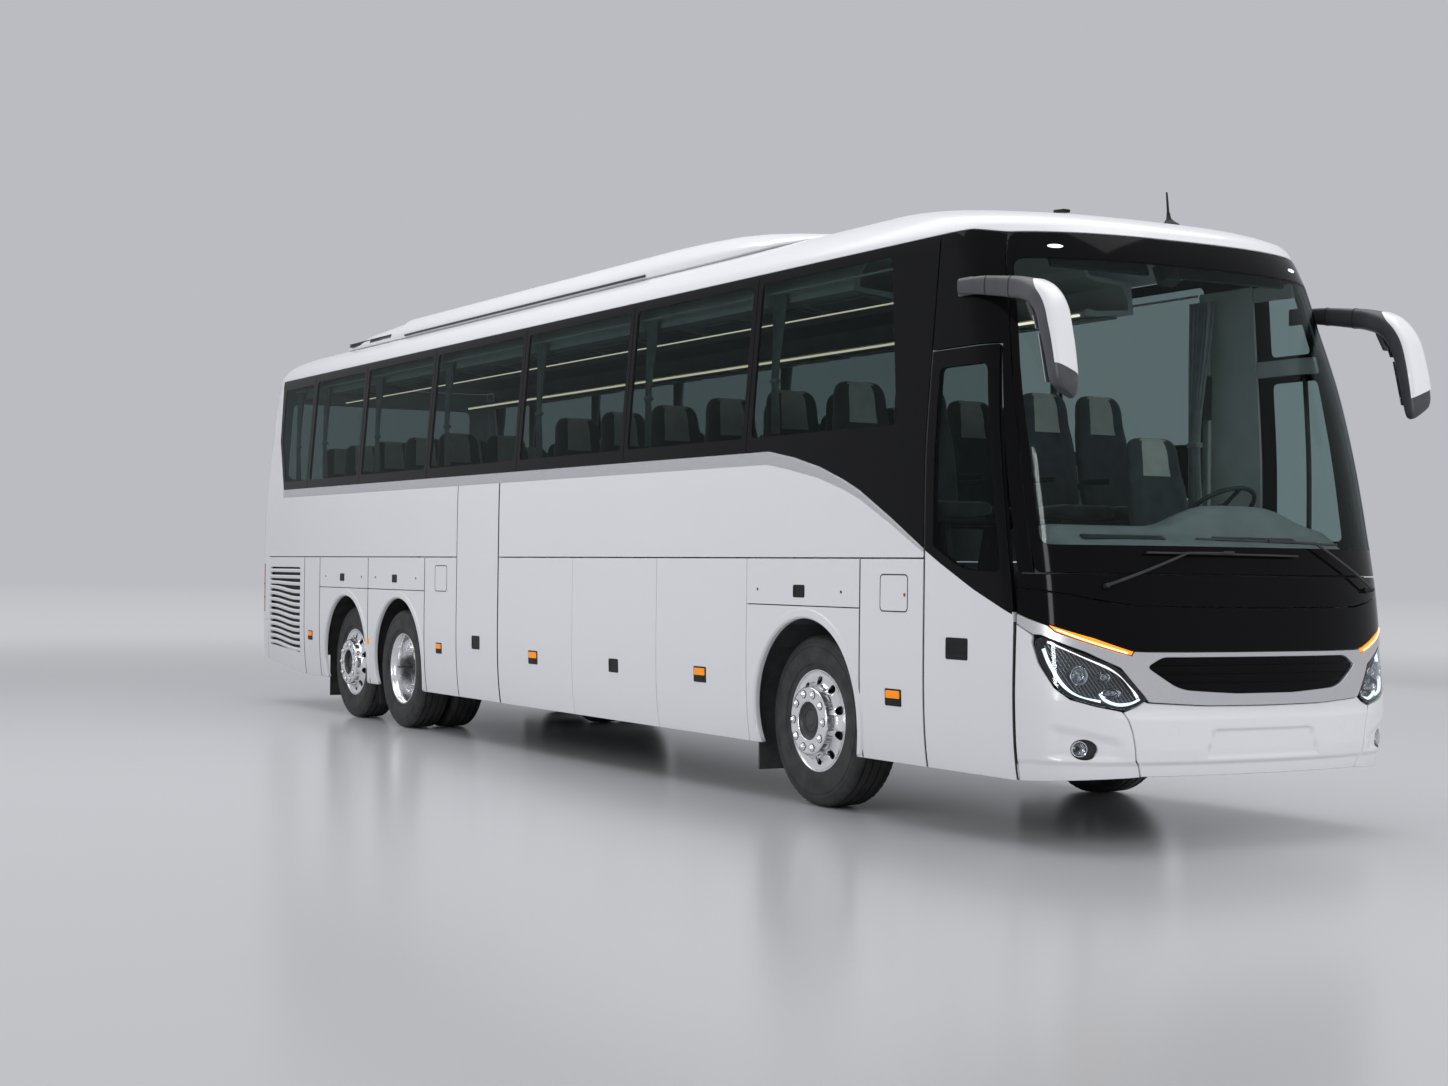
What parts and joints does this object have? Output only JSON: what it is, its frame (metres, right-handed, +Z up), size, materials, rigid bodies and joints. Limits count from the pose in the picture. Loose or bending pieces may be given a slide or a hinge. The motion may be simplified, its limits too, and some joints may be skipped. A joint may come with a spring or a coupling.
{
  "type": "three-axle touring coach",
  "caption": "High-deck three-axle touring coach with a raked windscreen, a dark window band, swing-out doors, luggage flaps, twin drive wheels and a tow hitch.",
  "frame": {"origin": "on the ground, below the middle of the coach's overall length and width", "axes": "+X towards the front of the coach, +Y towards its left side, +Z up"},
  "size_m": [13.56, 2.7168, 3.769],
  "materials": {
    "coach_white": "gloss",
    "gloss_black": "gloss",
    "tinted_glass": "polished",
    "dark_plastic": "matte",
    "painted_steel": "satin",
    "rubber": "matte",
    "seat_fabric": "woven",
    "interior_trim": "matte",
    "lamp_lens": "polished",
    "red_lens": "gloss"
  },
  "bodies": {
    "coach_body": {"underframe": "painted_steel", "luggage_bay": "dark_plastic", "saloon_floor": "dark_plastic", "entrance_stairwell": "dark_plastic", "middle_stairwell": "dark_plastic", "driver_platform": "dark_plastic", "rear_wheel_boxes": "dark_plastic", "side_wall_right": "coach_white", "side_wall_left": "coach_white", "front_pillar_right": "gloss_black", "side_windows_right": "tinted_glass", "side_windows_left": "tinted_glass", "front_skirt_right": "coach_white", "front_skirt_left": "coach_white", "rear_skirt_right": "coach_white", "rear_skirt_left": "coach_white", "roof": "coach_white", "roof_aircon": "coach_white", "front_panel": "gloss_black", "front_bumper": "coach_white", "windscreen": "tinted_glass", "headlamp_right": "lamp_lens", "headlamp_left": "lamp_lens", "rear_wall": "coach_white", "rear_window": "tinted_glass", "rear_bumper": "coach_white", "tail_lamp_right": "red_lens", "tail_lamp_left": "red_lens", "engine": "painted_steel", "dashboard": "interior_trim", "steering_wheel": "dark_plastic", "driver_seat": "seat_fabric", "passenger_seats": "seat_fabric", "luggage_racks": "interior_trim", "mirror_right": "dark_plastic", "mirror_left": "dark_plastic", "wipers": "dark_plastic", "front_axle": "painted_steel", "drive_axle": "painted_steel", "tag_axle": "painted_steel", "tow_hitch": "painted_steel"},
    "front_knuckle_right": {"front_knuckle_right": "painted_steel"},
    "front_wheel_right": {"front_wheel_right": "rubber"},
    "drive_wheels_right": {"drive_wheels_right": "rubber"},
    "tag_wheel_right": {"tag_wheel_right": "rubber"},
    "front_knuckle_left": {"front_knuckle_left": "painted_steel"},
    "front_wheel_left": {"front_wheel_left": "rubber"},
    "drive_wheels_left": {"drive_wheels_left": "rubber"},
    "tag_wheel_left": {"tag_wheel_left": "rubber"},
    "front_door_arms": {"front_door_arms": "painted_steel"},
    "front_door": {"front_door": "coach_white"},
    "mid_door_arms": {"mid_door_arms": "painted_steel"},
    "mid_door": {"mid_door": "coach_white"},
    "luggage_flap_right_1": {"luggage_flap_right_1": "coach_white"},
    "luggage_flap_left_1": {"luggage_flap_left_1": "coach_white"},
    "luggage_flap_right_2": {"luggage_flap_right_2": "coach_white"},
    "luggage_flap_left_2": {"luggage_flap_left_2": "coach_white"},
    "luggage_flap_right_3": {"luggage_flap_right_3": "coach_white"},
    "luggage_flap_left_3": {"luggage_flap_left_3": "coach_white"},
    "engine_lid": {"engine_lid": "coach_white"}
  },
  "joints": [
    {"name": "steer_right", "type": "hinge", "parent": "coach_body", "child": "front_knuckle_right", "pos_m": [4.175, -0.85, 0.522], "axis": [0, 0, 1], "range_deg": [-38, 38]},
    {"name": "front_wheel_spin_right", "type": "hinge", "parent": "front_knuckle_right", "child": "front_wheel_right", "pos_m": [4.175, -1.04, 0.522], "axis": [0, 1, 0], "continuous": true},
    {"name": "drive_wheel_spin_right", "type": "hinge", "parent": "coach_body", "child": "drive_wheels_right", "pos_m": [-2.695, -0.925, 0.522], "axis": [0, 1, 0], "continuous": true},
    {"name": "tag_wheel_spin_right", "type": "hinge", "parent": "coach_body", "child": "tag_wheel_right", "pos_m": [-4.065, -1.04, 0.522], "axis": [0, 1, 0], "continuous": true},
    {"name": "steer_left", "type": "hinge", "parent": "coach_body", "child": "front_knuckle_left", "pos_m": [4.175, 0.85, 0.522], "axis": [0, 0, 1], "range_deg": [-38, 38]},
    {"name": "front_wheel_spin_left", "type": "hinge", "parent": "front_knuckle_left", "child": "front_wheel_left", "pos_m": [4.175, 1.04, 0.522], "axis": [0, 1, 0], "continuous": true},
    {"name": "drive_wheel_spin_left", "type": "hinge", "parent": "coach_body", "child": "drive_wheels_left", "pos_m": [-2.695, 0.925, 0.522], "axis": [0, 1, 0], "continuous": true},
    {"name": "tag_wheel_spin_left", "type": "hinge", "parent": "coach_body", "child": "tag_wheel_left", "pos_m": [-4.065, 1.04, 0.522], "axis": [0, 1, 0], "continuous": true},
    {"name": "front_door_arms_swing", "type": "hinge", "parent": "coach_body", "child": "front_door_arms", "pos_m": [6.105, -1.13, 1.2], "axis": [0, 0, 1], "range_deg": [0, 125]},
    {"name": "front_door_guide", "type": "hinge", "parent": "front_door_arms", "child": "front_door", "pos_m": [5.715, -1.13, 1.2], "axis": [0, 0, 1], "range_deg": [-125, 0]},
    {"name": "mid_door_arms_swing", "type": "hinge", "parent": "coach_body", "child": "mid_door_arms", "pos_m": [-1.19, -1.13, 1.2], "axis": [0, 0, -1], "range_deg": [0, 125]},
    {"name": "mid_door_guide", "type": "hinge", "parent": "mid_door_arms", "child": "mid_door", "pos_m": [-0.8, -1.13, 1.2], "axis": [0, 0, -1], "range_deg": [-125, 0]},
    {"name": "luggage_flap_right_1_hinge", "type": "hinge", "parent": "coach_body", "child": "luggage_flap_right_1", "pos_m": [2.8615, -1.273, 1.503], "axis": [-1, 0, 0], "range_deg": [0, 88]},
    {"name": "luggage_flap_left_1_hinge", "type": "hinge", "parent": "coach_body", "child": "luggage_flap_left_1", "pos_m": [2.8615, 1.273, 1.503], "axis": [1, 0, 0], "range_deg": [0, 88]},
    {"name": "luggage_flap_right_2_hinge", "type": "hinge", "parent": "coach_body", "child": "luggage_flap_right_2", "pos_m": [1.576, -1.273, 1.503], "axis": [-1, 0, 0], "range_deg": [0, 88]},
    {"name": "luggage_flap_left_2_hinge", "type": "hinge", "parent": "coach_body", "child": "luggage_flap_left_2", "pos_m": [1.576, 1.273, 1.503], "axis": [1, 0, 0], "range_deg": [0, 88]},
    {"name": "luggage_flap_right_3_hinge", "type": "hinge", "parent": "coach_body", "child": "luggage_flap_right_3", "pos_m": [0.22, -1.273, 1.503], "axis": [-1, 0, 0], "range_deg": [0, 88]},
    {"name": "luggage_flap_left_3_hinge", "type": "hinge", "parent": "coach_body", "child": "luggage_flap_left_3", "pos_m": [0.22, 1.273, 1.503], "axis": [1, 0, 0], "range_deg": [0, 88]},
    {"name": "engine_lid_hinge", "type": "hinge", "parent": "coach_body", "child": "engine_lid", "pos_m": [-6.704, 0, 1.997], "axis": [0, 1, 0], "range_deg": [0, 80]}
  ],
  "couplings": [
    {"joint": "steer_right", "follows": "steer_left", "ratio": 1},
    {"joint": "front_door_guide", "follows": "front_door_arms_swing", "ratio": -1},
    {"joint": "mid_door_guide", "follows": "mid_door_arms_swing", "ratio": -1}
  ]
}
